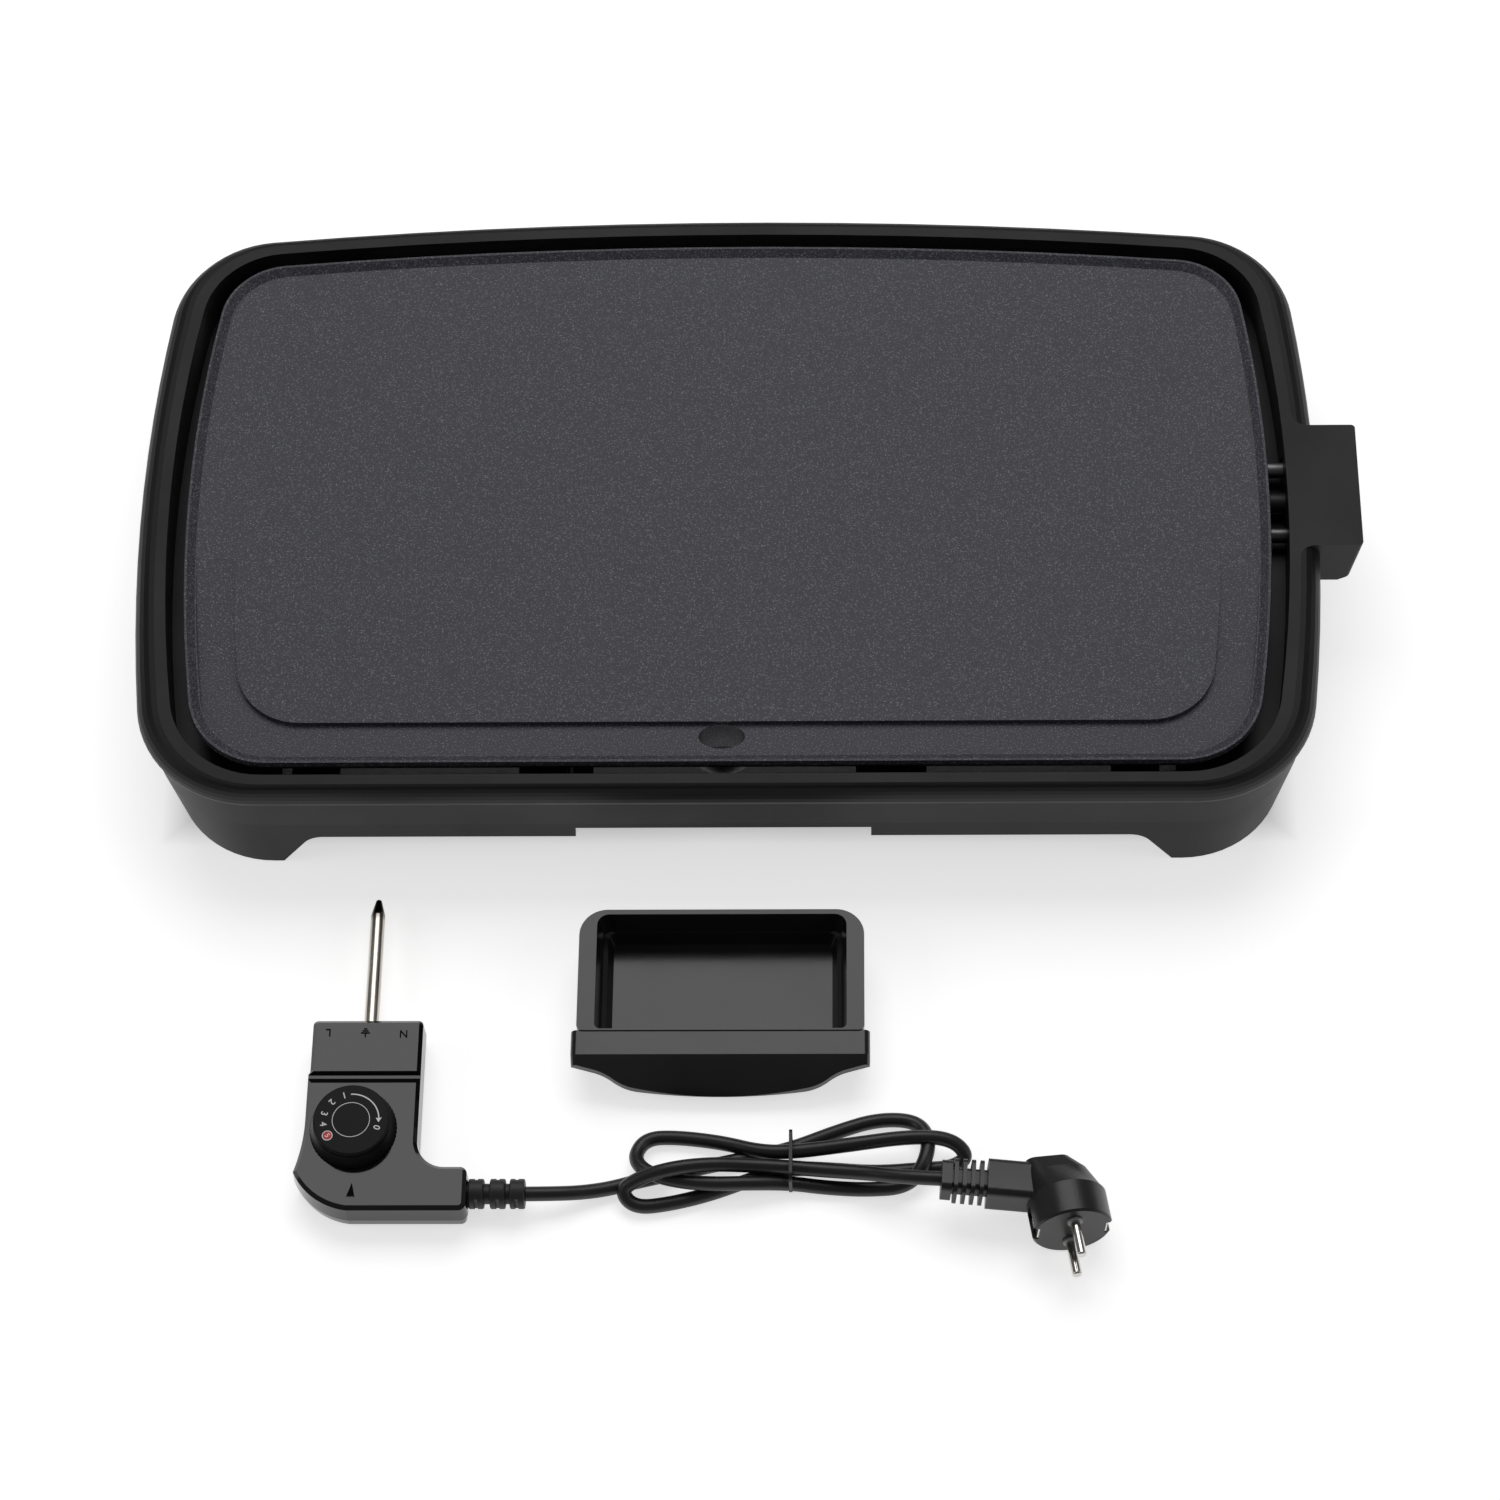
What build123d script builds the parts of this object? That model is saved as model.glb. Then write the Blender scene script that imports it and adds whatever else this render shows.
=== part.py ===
from build123d import *
import math
import os

# Electric griddle with a pull-out drip tray and a plug-in thermostat control on a mains lead.
# Millimetres. Origin: on the table, under the centre of the cooking plate.
# +X to the socket side, +Y to the back, +Z up.

# ---- driving dimensions: plan outlines --------------------------------------------------------
PLATE_HALF_WIDTH = 278.0
PLATE_HALF_DEPTH = 158.2
SIDE_RADIUS = 790.0
BACK_RADIUS = 2640.0
PLATE_CORNER_FRONT = 42.0
PLATE_CORNER_BACK = 36.0
GAP_SIDE = 8.8
GAP_END = 6.8
LAND_WIDTH = 5.5
SHOULDER_SIDE = 10.6
SHOULDER_FRONT = 5.0
SHOULDER_BACK = 7.0

# ---- driving dimensions: heights --------------------------------------------------------------
FRAME_TOP = 73.0
BEAD_Z = 62.0
NECK_Z = 56.0
SKIRT_Z = 24.0
LEG_BOTTOM = 0.8
RIM_TOP = 72.0
PLATE_BOTTOM = 62.0
COOKING_Z = 69.0
CHANNEL_Z = 66.2
LEDGE_Z = 48.0
LEDGE_THICK = 3.0
SHIELD_Z = 38.0
SHIELD_THICK = 0.8
ELEMENT_Z = 56.0
WALL = 2.8

# ---- frame details ----------------------------------------------------------------------------
CENTRE_X = -1.0
NOTCH_HALF = 74.2
NOTCH_TOP = 32.0
LEG_FOOT_X = 225.0
LEG_TOP_X = 209.0
LEG_FOOT_Y = 112.0
LEG_TOP_Y = 90.0
FOOT_X, FOOT_Y = 254.0, 141.0
FOOT_RADIUS = 8.0
BOSS_X, BOSS_Y = 205.0, 140.0
RAIL_BOSS_X = 90.0
RAIL_THICK = 2.2
RAIL_FRONT_Y, RAIL_BACK_Y = -162.0, -106.0
SCREW_R = 1.95

# ---- socket box -------------------------------------------------------------------------------
BOX_Y = 3.6
BOX_HALF = 36.8
BOX_X = 323.4
BOX_BOTTOM = 40.0
BOX_BACK_X = 296.0
BOX_WALL = 3.5
PIN_HALF_SPACING = 20.0
LAND_EDGE_X = 291.2  # outer edge of the land at the ends of the socket box
FLARE_R = 8.0
SHELF_SIDE, SHELF_FRONT = 11.0, 14.4
PIN_R = 3.0
PIN_FREE_X = 297.2  # the straight free length of a pin starts here, clear of its bush
PIN_ROOT_LESS = 0.5  # a pin is this much slimmer in radius inside its bush or collar
SHEATH_R = 4.0

# ---- drip tray --------------------------------------------------------------------------------
TRAY_FRONT_Y = -284.6
TRAY_BACK_Y = -217.2
TRAY_HALF = 70.5
PANEL_HALF = 73.2
TRAY_RIM_Z = 28.0
TRAY_FLOOR_Z = 2.8
BAR_BACK_Y, BAR_EDGE_Y, BAR_TOP_Z = -283.2, -296.3, 27.2

# ---- control ----------------------------------------------------------------------------------
HEAD_LEFT, HEAD_RIGHT, HEAD_FRONT = -202.0, -146.8, -274.0
BODY_LEFT = -202.9
GROOVE_Y = -305.6
ELBOW_TOP, ELBOW_BOTTOM, ELBOW_RIGHT = -352.4, -376.2, -122.0
CONTROL_BOTTOM, CONTROL_SPLIT, CONTROL_TOP = 0.6, 9.0, 22.0
PROBE_X, PROBE_Z, PROBE_R = -174.0, 12.0, 3.6
PROBE_TIP_Y = -203.2
DIAL_X, DIAL_Y = -178.4, -333.8
DIAL_BOTTOM, DIAL_TOP = 22.8, 33.0
DIAL_R, DIAL_SKIRT_R = 18.1, 21.2
RELIEF_Y, RELIEF_END_X = -363.6, -94.6
FIXED_BLADE_Z, MOVING_BLADE_Z = 5.2, 8.1

# ---- cord and plug ----------------------------------------------------------------------------
CORD_R = 3.6
CORD_TURN_SHARE = 0.45
HANK_BOTTOM, HANK_TOP = 0.1, 18.0
TIE_X, TIE_HALF_WIDTH, TIE_THICK = 33.5, 0.8, 1.1
PLUG_FACE = Vector(168.1, -387.1, 21.4)
PLUG_PINS = Vector(0.15, -0.98, 0.10).normalized()
PLUG_NECK_GUIDE = Vector(-0.98, -0.13, 0.09)
PLUG_R = 19.4
PLUG_PIN_HALF_SPACING = 9.5
PLUG_PIN_R = 2.4
NECK_TILT = 12.0


# ---- shared helpers ---------------------------------------------------------------------------
def block(x0, x1, y0, y1, z0, z1):
    """Box between two corners."""
    return Pos(x0, y0, z0) * Box(x1 - x0, y1 - y0, z1 - z0, align=(Align.MIN,) * 3)


def rod(x, y, z0, z1, radius):
    """Upright cylinder from z0 to z1."""
    low = (Align.CENTER, Align.CENTER, Align.MIN)
    return Pos(x, y, z0) * Cylinder(radius, z1 - z0, align=low)


def rod_along_x(x0, x1, y, z, radius):
    """Level cylinder along X."""
    low = (Align.CENTER, Align.CENTER, Align.MIN)
    return Pos(x0, y, z) * Rot(0, 90, 0) * Cylinder(radius, x1 - x0, align=low)


def rod_along_y(x, y0, y1, z, radius):
    """Level cylinder along Y."""
    low = (Align.CENTER, Align.CENTER, Align.MIN)
    return Pos(x, y0, z) * Rot(-90, 0, 0) * Cylinder(radius, y1 - y0, align=low)


def plan(side, front, back, z, grow_corner=0.0, side_radius=SIDE_RADIUS):
    """Level face: straight front, bowed sides and back, round corners."""
    sag_side = front * front / (2 * side_radius)
    corner_x = side - sag_side
    back_y = back - corner_x * corner_x / (2 * BACK_RADIUS)
    corner_back_x = side - back_y * back_y / (2 * side_radius)
    front_left, front_right = (-corner_x, -front), (corner_x, -front)
    back_left, back_right = (-corner_back_x, back_y), (corner_back_x, back_y)
    edges = [
        Line(front_left, front_right),
        ThreePointArc(front_right, (side, 0), back_right),
        ThreePointArc(back_right, (0, back), back_left),
        ThreePointArc(back_left, (-side, 0), front_left),
    ]
    face = make_face(edges)
    by_y = face.vertices().sort_by(Axis.Y)
    face = fillet(by_y[:2], PLATE_CORNER_FRONT + grow_corner)
    by_y = [v for v in face.vertices() if abs(v.X) > 100 and v.Y > 0]
    back_points = [(corner_back_x, back_y), (-corner_back_x, back_y)]
    corners = [v for v in by_y if any(math.dist((v.X, v.Y), p) < 0.01 for p in back_points)]
    face = fillet(corners, PLATE_CORNER_BACK + grow_corner)
    return Pos(0, 0, z) * face


def stack(sections):
    """Solid through level sections, with straight walls between neighbours."""
    return loft(sections, ruled=True)


def prism(section, height):
    """Straight upward extrusion of a level face."""
    return extrude(section, amount=height, dir=(0, 0, 1))


def screw(x, y, head_z, tip_z, head_r=4.0, head_h=2.4, shank_r=SCREW_R):
    """Pan-head screw pointing up: its head hangs below head_z, with a cross recess."""
    head = rod(x, y, head_z - head_h, head_z, head_r)
    lower = head.edges().group_by(Axis.Z)[0]
    head = fillet(lower, head_h * 0.45)
    recess_z = head_z - head_h + 1.0
    cross = block(x - 2.2, x + 2.2, y - 0.45, y + 0.45, head_z - head_h - 1, recess_z)
    cross += block(x - 0.45, x + 0.45, y - 2.2, y + 2.2, head_z - head_h - 1, recess_z)
    return head - cross + rod(x, y, head_z, tip_z, shank_r)


def turn_radii(points):
    """Largest tangent arc at each inner point that its two runs allow."""
    radii = []
    for before, here, after in zip(points, points[1:], points[2:]):
        first, second = Vector(*here) - Vector(*before), Vector(*after) - Vector(*here)
        turn = math.radians(first.get_angle(second))
        shorter = min(first.length, second.length)
        radii.append(CORD_TURN_SHARE * shorter / math.tan(turn / 2))
    return radii


def tube(points, radius, label):
    """Round cord along straight runs joined by tangent arcs."""
    radii = turn_radii(points)
    path = FilletPolyline(*points, radius=radii)
    solid = sweep(Plane(path @ 0, z_dir=path % 0) * Circle(radius), path=path)
    expected = math.pi * radius**2 * path.length
    print(label, "radii", [round(r, 1) for r in radii], "length", round(path.length, 1))
    print(label, "volume share", round(solid.volume / expected, 4))
    return solid


# ---- frame ------------------------------------------------------------------------------------
def frame_plan(grow_side, grow_front, grow_back, z):
    """Frame outline, grown outward from the ring's inner edge."""
    side = PLATE_HALF_WIDTH + GAP_SIDE + grow_side
    front = PLATE_HALF_DEPTH + GAP_END + grow_front
    back = PLATE_HALF_DEPTH + GAP_END + grow_back
    grow_corner = 7.0 + max(0.0, grow_side) * 0.75
    radius = SIDE_RADIUS + grow_side * 12
    return plan(side, front, back, z, grow_corner, radius)


def shoulder_sections(inset):
    """Rounded shoulder from the flat land down to the bead, then the neck under it."""
    top = FRAME_TOP - inset
    sections = []
    steps = 6
    for step in range(steps + 1):
        angle = math.pi / 2 * step / steps
        share = math.sin(angle)
        z = BEAD_Z + (top - BEAD_Z) * math.cos(angle)
        side = LAND_WIDTH - inset + SHOULDER_SIDE * share
        front = LAND_WIDTH - inset + SHOULDER_FRONT * share
        back = LAND_WIDTH - inset + SHOULDER_BACK * share
        sections.append(frame_plan(side, front, back, z))
    side = LAND_WIDTH + SHOULDER_SIDE - inset
    front = LAND_WIDTH + SHOULDER_FRONT - inset
    back = LAND_WIDTH + SHOULDER_BACK - inset
    sections.append(frame_plan(side - 0.8, front - 0.5, back - 0.6, BEAD_Z - 2.5))
    sections.append(frame_plan(side - 3.4, front - 2.4, back - 3.0, NECK_Z))
    sections.append(frame_plan(side - 4.6, front - 2.6, back - 4.0, SKIRT_Z + 12))
    sections.append(frame_plan(side - 11.0, front - 1.4, back - 6.0, LEG_BOTTOM - inset))
    return sections


def leg_arch(foot, top, reach):
    """Cutter that lifts the skirt's lower edge between two legs."""
    points = [(-foot - 1, -3), (-foot, LEG_BOTTOM), (-top, SKIRT_Z), (top, SKIRT_Z)]
    points += [(foot, LEG_BOTTOM), (foot + 1, -3)]
    face = make_face(Polyline(*points, close=True))
    upper = [v for v in face.vertices() if v.Y > SKIRT_Z - 1]
    face = fillet(upper, 12)
    return extrude(Plane.XZ * face, amount=reach, both=True)


def socket_box():
    """Box on the right side, with a mouth that leans back below its top edge."""
    low, high = BOX_Y - BOX_HALF, BOX_Y + BOX_HALF
    lean = 4.2
    profile = [
        (PLATE_HALF_WIDTH + 4, BOX_BOTTOM),
        (BOX_X - lean - 6, BOX_BOTTOM),
        (BOX_X - lean, BOX_BOTTOM + 4),
        (BOX_X, FRAME_TOP),
        (PLATE_HALF_WIDTH + 4, FRAME_TOP),
    ]
    face = make_face(Polyline(*profile, close=True))
    box = extrude(Plane.XZ.offset(-high) * face, amount=high - low)
    outer = [e for e in box.edges() if e.center().X > BOX_X - 6 and abs(e.center().Y - BOX_Y) > 30]
    return fillet(outer, 2.0)


def box_flares():
    """Hollow corners where the socket box leaves the flat land."""
    flares = []
    for side in (-1, 1):
        edge = BOX_Y + side * BOX_HALF
        y0, y1 = sorted((edge - side * 1.0, edge + side * FLARE_R))
        corner = block(LAND_EDGE_X - 3, LAND_EDGE_X + FLARE_R, y0, y1, 52, FRAME_TOP)
        flares.append(corner - rod(LAND_EDGE_X + FLARE_R, edge + side * FLARE_R, 50, 80, FLARE_R))
    return flares


def box_cavity():
    """Space that the control's head plugs into."""
    low, high = BOX_Y - BOX_HALF + BOX_WALL, BOX_Y + BOX_HALF - BOX_WALL
    return block(BOX_BACK_X, BOX_X + 5, low, high, BOX_BOTTOM + BOX_WALL, FRAME_TOP - BOX_WALL)


def boss_places():
    """Fixing points of the plate: four corners and one over each tray rail."""
    corners = [(x, y) for x in (-BOSS_X, BOSS_X) for y in (-BOSS_Y, BOSS_Y)]
    return corners + [(CENTRE_X - RAIL_BOSS_X, -BOSS_Y), (CENTRE_X + RAIL_BOSS_X, -BOSS_Y)]


def foot_places():
    """Foot centres by name."""
    return {
        "rubber_foot_front_left": (-FOOT_X, -FOOT_Y),
        "rubber_foot_front_right": (FOOT_X, -FOOT_Y),
        "rubber_foot_back_left": (-FOOT_X, FOOT_Y - 6),
        "rubber_foot_back_right": (FOOT_X, FOOT_Y - 6),
    }


def pin_rows():
    """Y of the two element pins."""
    return (BOX_Y - PIN_HALF_SPACING, BOX_Y + PIN_HALF_SPACING)


def make_frame():
    """Moulded ring with shoulder, skirt, four legs and the socket box."""
    outer = stack(shoulder_sections(0.0)[::-1])
    hollow = stack(shoulder_sections(WALL)[::-1])
    opening = prism(frame_plan(0, 0, 0, -5), 90)
    inner_wall = prism(frame_plan(2.6, 2.6, 2.6, LEDGE_Z - LEDGE_THICK), 26) - opening
    box = socket_box() - opening
    ring = outer - hollow - opening + inner_wall + box
    webs = prism(frame_plan(3.6, 7.6, 5.0, 3.6), 2.6)
    for x_side in (-1, 1):
        for y_side in (-1, 1):
            x0, x1 = sorted((x_side * (LEG_FOOT_X + 4), x_side * 330))
            y0, y1 = sorted((y_side * (LEG_FOOT_Y + 4), y_side * 200))
            ring += webs & block(x0, x1, y0, y1, 0, 10)
    ledges = []
    for x, y in boss_places():
        reach = 168.0 if y < 0 else 159.5
        y0, y1 = sorted((math.copysign(124, y), math.copysign(reach, y)))
        ledges.append(block(x - 12, x + 12, y0, y1, LEDGE_Z - LEDGE_THICK, LEDGE_Z))
    shelf = prism(frame_plan(0.4, 0.4, 0.4, LEDGE_Z - LEDGE_THICK), LEDGE_THICK)
    shelf = shelf - prism(frame_plan(-SHELF_SIDE, -SHELF_FRONT, -SHELF_SIDE, LEDGE_Z - 6), 12)
    ring = ring + ledges + shelf + box_flares()
    ring = ring - box_cavity()
    ring = ring - leg_arch(LEG_FOOT_X, LEG_TOP_X, 400)
    ring = ring - Rot(0, 0, 90) * leg_arch(LEG_FOOT_Y, LEG_TOP_Y, 400)
    notch_left, notch_right = CENTRE_X - NOTCH_HALF, CENTRE_X + NOTCH_HALF
    ring = ring - block(notch_left, notch_right, -190, -150, -5, NOTCH_TOP)
    for x, y in boss_places():
        ring = ring - rod(x, y, 40, 60, 2.3)
    for y in pin_rows():
        ring = ring - rod_along_x(270, 300, y, ELEMENT_Z, 7.0)
    ring = ring - rod_along_x(270, 300, BOX_Y, ELEMENT_Z, 5.0)
    for x, y in foot_places().values():
        ring = ring - rod(x, y, 0, 12, 3.0)
    return ring


# ---- cooking plate and what hangs under it ----------------------------------------------------
def plate_plan(inset, z, corner=0.0):
    """Plate outline moved inward by inset."""
    return plan(PLATE_HALF_WIDTH - inset, PLATE_HALF_DEPTH - inset, PLATE_HALF_DEPTH - inset, z,
                corner - inset * 0.6)


def element_path(start_x):
    """Loop of the heating element, from one pin round the plate to the other."""
    low, high = pin_rows()
    points = [
        (start_x, high), (214, high), (214, 104), (-216, 104),
        (-216, -88), (214, -88), (214, low), (start_x, low),
    ]
    radii = [16, 34, 34, 34, 34, 16]
    return FilletPolyline(*[(x, y, ELEMENT_Z) for x, y in points], radius=radii)


def element_tube(start_x, radius):
    """Round tube along the element's loop."""
    path = element_path(start_x)
    return sweep(Plane(path @ 0, z_dir=path % 0) * Circle(radius), path=path)


def channel_floor():
    """U-shaped grease channel: it starts level with the surface and deepens to the front."""
    outer = plate_plan(6.4, CHANNEL_Z)
    island = plan(252.0, 133.0, 240.0, CHANNEL_Z, -8.0)
    ring = prism(outer, COOKING_Z - CHANNEL_Z + 2) - prism(island, COOKING_Z - CHANNEL_Z + 2)
    front_part = ring & block(-300, 300, -170, -36, CHANNEL_Z, COOKING_Z + 2)
    ramp_points = [(-35, COOKING_Z), (-35, CHANNEL_Z - 1), (-96, CHANNEL_Z - 1), (-96, CHANNEL_Z)]
    ramp_face = Plane.YZ * make_face(Polyline(*ramp_points, close=True))
    ramp = extrude(ramp_face, amount=300, both=True)
    return front_part - ramp


def make_plate():
    """Die-cast plate with a raised rim, a grease channel, a drain and cast bosses."""
    lower = plate_plan(3.0, PLATE_BOTTOM)
    widest = plate_plan(0.0, RIM_TOP - 3)
    upper = plate_plan(0.6, RIM_TOP)
    plate = stack([lower, widest, upper])
    recess = stack([plate_plan(5.6, COOKING_Z), plate_plan(1.8, RIM_TOP + 0.01)])
    plate = plate - recess - channel_floor()
    plate = plate + element_tube(268, 8.0)
    for x, y in boss_places():
        plate = plate + rod(x, y, LEDGE_Z, PLATE_BOTTOM + 1, 7.5)
    for x, y in shield_places():
        plate = plate + rod(x, y, SHIELD_Z + SHIELD_THICK, PLATE_BOTTOM + 1, 6.0)
    sleeve_block = block(216, 266, BOX_Y - 7.5, BOX_Y + 7.5, 49.5, PLATE_BOTTOM + 1)
    plate = plate + sleeve_block
    spout = Pos(CENTRE_X, -140.3, 45) * Ellipse(14.4, 9.6)
    plate = plate + prism(spout, PLATE_BOTTOM - 44)
    drain = Pos(CENTRE_X, -140.3, 40) * Ellipse(11.6, 6.9)
    plate = plate - prism(drain, 40)
    for x, y in boss_places():
        plate = plate - rod(x, y, LEDGE_Z - 1, 59, SCREW_R + 0.05)
    for x, y in shield_places():
        plate = plate - rod(x, y, SHIELD_Z, 54, SCREW_R + 0.05)
    plate = plate - element_tube(300, SHEATH_R)
    plate = plate - rod_along_x(214, 300, BOX_Y, ELEMENT_Z, 5.0)
    return plate


def shield_places():
    """Fixing points of the heat shield."""
    return [(x, y) for x in (-150.0, 140.0) for y in (-64.0, 78.0)]


def make_heating_element():
    """Sheathed element, cast into the plate, with both ends out to the socket."""
    return element_tube(292, SHEATH_R)


def make_element_pins():
    """Two cold pins of the element in the socket."""
    pins = []
    for y in pin_rows():
        pin = rod_along_x(PIN_FREE_X, 317, y, ELEMENT_Z, PIN_R)
        pin = fillet(pin.edges().sort_by(Axis.X)[-1], 1.4)
        pins.append(pin + rod_along_x(292, PIN_FREE_X, y, ELEMENT_Z, PIN_R - PIN_ROOT_LESS))
    return Compound(children=pins)


def make_pin_insulators():
    """Ceramic bushes that hold the element's ends in the frame wall."""
    bushes = []
    for y in pin_rows():
        bush = rod_along_x(288.5, BOX_BACK_X + 1, y, ELEMENT_Z, 6.9)
        bush = bush - rod_along_x(280, 292, y, ELEMENT_Z, SHEATH_R + 0.05)
        bushes.append(bush - rod_along_x(280, 300, y, ELEMENT_Z, PIN_R - PIN_ROOT_LESS + 0.05))
    return Compound(children=bushes)


def make_probe_sleeve():
    """Closed steel sleeve under the plate that takes the control's probe."""
    sleeve = rod_along_x(218, BOX_BACK_X, BOX_Y, ELEMENT_Z, 4.95)
    return sleeve - rod_along_x(220, BOX_BACK_X + 5, BOX_Y, ELEMENT_Z, 3.9)


def make_socket_backplate():
    """Earthed steel plate at the back of the socket."""
    x0 = BOX_BACK_X + 0.05
    plate = block(x0, x0 + 0.9, BOX_Y - 11, BOX_Y + 11, ELEMENT_Z - 9, ELEMENT_Z + 9)
    return plate - rod_along_x(x0 - 2, x0 + 3, BOX_Y, ELEMENT_Z, 4.3)


def make_heat_shield():
    """Thin tray-shaped reflector under the plate."""
    sheet = block(-232, 206, -104, 122, SHIELD_Z, SHIELD_Z + 6)
    sheet = fillet(sheet.edges().filter_by(Axis.Z), 24)
    inner = block(-231.2, 205.2, -103.2, 121.2, SHIELD_Z + SHIELD_THICK, SHIELD_Z + 9)
    inner = fillet(inner.edges().filter_by(Axis.Z), 23.2)
    sheet = sheet - inner
    for x, y in shield_places():
        sheet = sheet - rod(x, y, 30, 45, 2.3)
    return sheet


def make_plate_screws():
    """Screws from below through the frame's ledges into the plate's bosses."""
    rail = LEDGE_Z - LEDGE_THICK - RAIL_THICK
    places = boss_places()
    screws = [screw(x, y, LEDGE_Z - LEDGE_THICK, 58) for x, y in places[:4]]
    screws += [screw(x, y, rail, 58) for x, y in places[4:]]
    return Compound(children=screws)


def make_shield_screws():
    """Screws that hold the heat shield to the plate."""
    return Compound(children=[screw(x, y, SHIELD_Z, 52) for x, y in shield_places()])


def make_tray_rail(side):
    """Angled rail that the tray's rim runs on, hung from a ledge of the frame."""
    top = LEDGE_Z - LEDGE_THICK
    web_in, web_out = 76.4, 78.6
    profile = [
        (66.6, 21.0), (web_out, 21.0), (web_out, top - RAIL_THICK), (102.0, top - RAIL_THICK),
        (102.0, top), (web_in, top), (web_in, 23.2), (66.6, 23.2),
    ]
    face = make_face(Polyline(*[(side * x, z) for x, z in profile], close=True))
    back_end = Plane((CENTRE_X, RAIL_BACK_Y, 0), x_dir=(1, 0, 0), z_dir=(0, -1, 0))
    rail = extrude(back_end * face, amount=RAIL_BACK_Y - RAIL_FRONT_Y)
    outside = sorted((CENTRE_X + side * web_out, CENTRE_X + side * 110))
    rail = rail - block(*outside, -BOSS_Y + 20, 0, 20, 60)
    return rail - rod(CENTRE_X + side * RAIL_BOSS_X, -BOSS_Y, 30, 60, 2.3)


def make_rubber_foot(x, y):
    """Rubber pad with a stem pushed into the leg."""
    pad = rod(x, y, 0.0, 3.6, FOOT_RADIUS)
    pad = fillet(pad.edges().group_by(Axis.Z)[0], 0.8)
    barb = Pos(x, y, 6.3) * Cone(3.8, 2.2, 3, align=(Align.CENTER, Align.CENTER, Align.MIN))
    return pad + rod(x, y, 3.0, 6.4, 2.9) + barb


# ---- drip tray --------------------------------------------------------------------------------
def tray_face(half, y0, y1, z, radius):
    """Level rectangle of the tray with round back corners."""
    points = [(-half, y0), (half, y0), (half, y1), (-half, y1)]
    face = make_face(Polyline(*[(CENTRE_X + x, y) for x, y in points], close=True))
    face = fillet(face.vertices().sort_by(Axis.Y)[2:], radius)
    face = fillet(face.vertices().sort_by(Axis.Y)[:2], 3.0)
    return Pos(0, 0, z) * face


def tray_handle():
    """Flat bar across the front with a sloping finger lip that is longest in the middle."""
    x = CENTRE_X
    slope_y, slope_z = 14.7, 18.6
    edge_y, low_z = BAR_EDGE_Y - slope_y, BAR_TOP_Z - slope_z
    outer = [(BAR_BACK_Y, low_z), (BAR_BACK_Y, BAR_TOP_Z), (BAR_EDGE_Y, BAR_TOP_Z), (edge_y, low_z)]
    inner = [(BAR_BACK_Y - 1.4, low_z - 1), (BAR_BACK_Y - 1.4, BAR_TOP_Z - 2.4),
             (BAR_EDGE_Y + 1.2, BAR_TOP_Z - 2.4), (edge_y + 2.3, low_z - 1)]
    bar = extrude(Plane.YZ.offset(x - PANEL_HALF) * make_face(Polyline(*outer, close=True)),
                  amount=2 * PANEL_HALF)
    ends = [e for e in bar.edges() if abs(e.center().X - x) > PANEL_HALF - 0.1]
    tops = [e for e in ends if e.center().Z > low_z + 1 and e.center().Y < BAR_BACK_Y - 1]
    bar = fillet(tops, 3.4)
    hollow = extrude(Plane.YZ.offset(x - 70.9) * make_face(Polyline(*inner, close=True)), amount=141.8)
    wide = extrude(Plane.YZ.offset(x - 90) * make_face(Polyline(*inner, close=True)), amount=180)
    bar = bar - hollow - (wide & block(x - 90, x + 90, -330, BAR_BACK_Y - 1.4, 0, 20.5))
    right = [
        Line((x + PANEL_HALF + 1, BAR_BACK_Y + 1), (x + PANEL_HALF + 1, -299.3)),
        Line((x + PANEL_HALF + 1, -299.3), (x + 61.5, -301.6)),
        ThreePointArc((x + 61.5, -301.6), (x + 56.2, -303.1), (x + 52.4, -304.8)),
        ThreePointArc((x + 52.4, -304.8), (x + 48.4, -306.4), (x + 42, -307.8)),
    ]
    left = [edge.mirror(Plane.YZ.offset(x)) for edge in right]
    arc = ThreePointArc((x + 42, -307.8), (x, -310.7), (x - 42, -307.8))
    back = Line((x - PANEL_HALF - 1, BAR_BACK_Y + 1), (x + PANEL_HALF + 1, BAR_BACK_Y + 1))
    return bar & prism(make_face(right + [arc, back] + left), 40)


def make_drip_tray():
    """Grease tray with a rim to run on, a front panel and a finger lip."""
    rim = prism(tray_face(TRAY_HALF, TRAY_FRONT_Y + 1, TRAY_BACK_Y, TRAY_RIM_Z - 3, 14), 3)
    lower = tray_face(58.2, TRAY_FRONT_Y + 3, TRAY_BACK_Y - 4.4, 0.3, 7)
    upper = tray_face(64.4, TRAY_FRONT_Y + 0.8, TRAY_BACK_Y - 0.4, TRAY_RIM_Z - 2.9, 8)
    tray = rim + stack([lower, upper])
    floor = tray_face(54.6, TRAY_FRONT_Y + 6.6, TRAY_BACK_Y - 6.6, TRAY_FLOOR_Z, 2.5)
    step = tray_face(57.0, TRAY_FRONT_Y + 4.8, TRAY_BACK_Y - 5.0, 12, 4)
    step_top = tray_face(59.2, TRAY_FRONT_Y + 4.2, TRAY_BACK_Y - 4.4, 13, 4)
    mouth = tray_face(61.8, TRAY_FRONT_Y + 1.9, TRAY_BACK_Y - 2.6, TRAY_RIM_Z + 0.01, 6)
    tray = tray - stack([floor, step]) - stack([step, step_top]) - stack([step_top, mouth])
    return tray + tray_handle()


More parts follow.
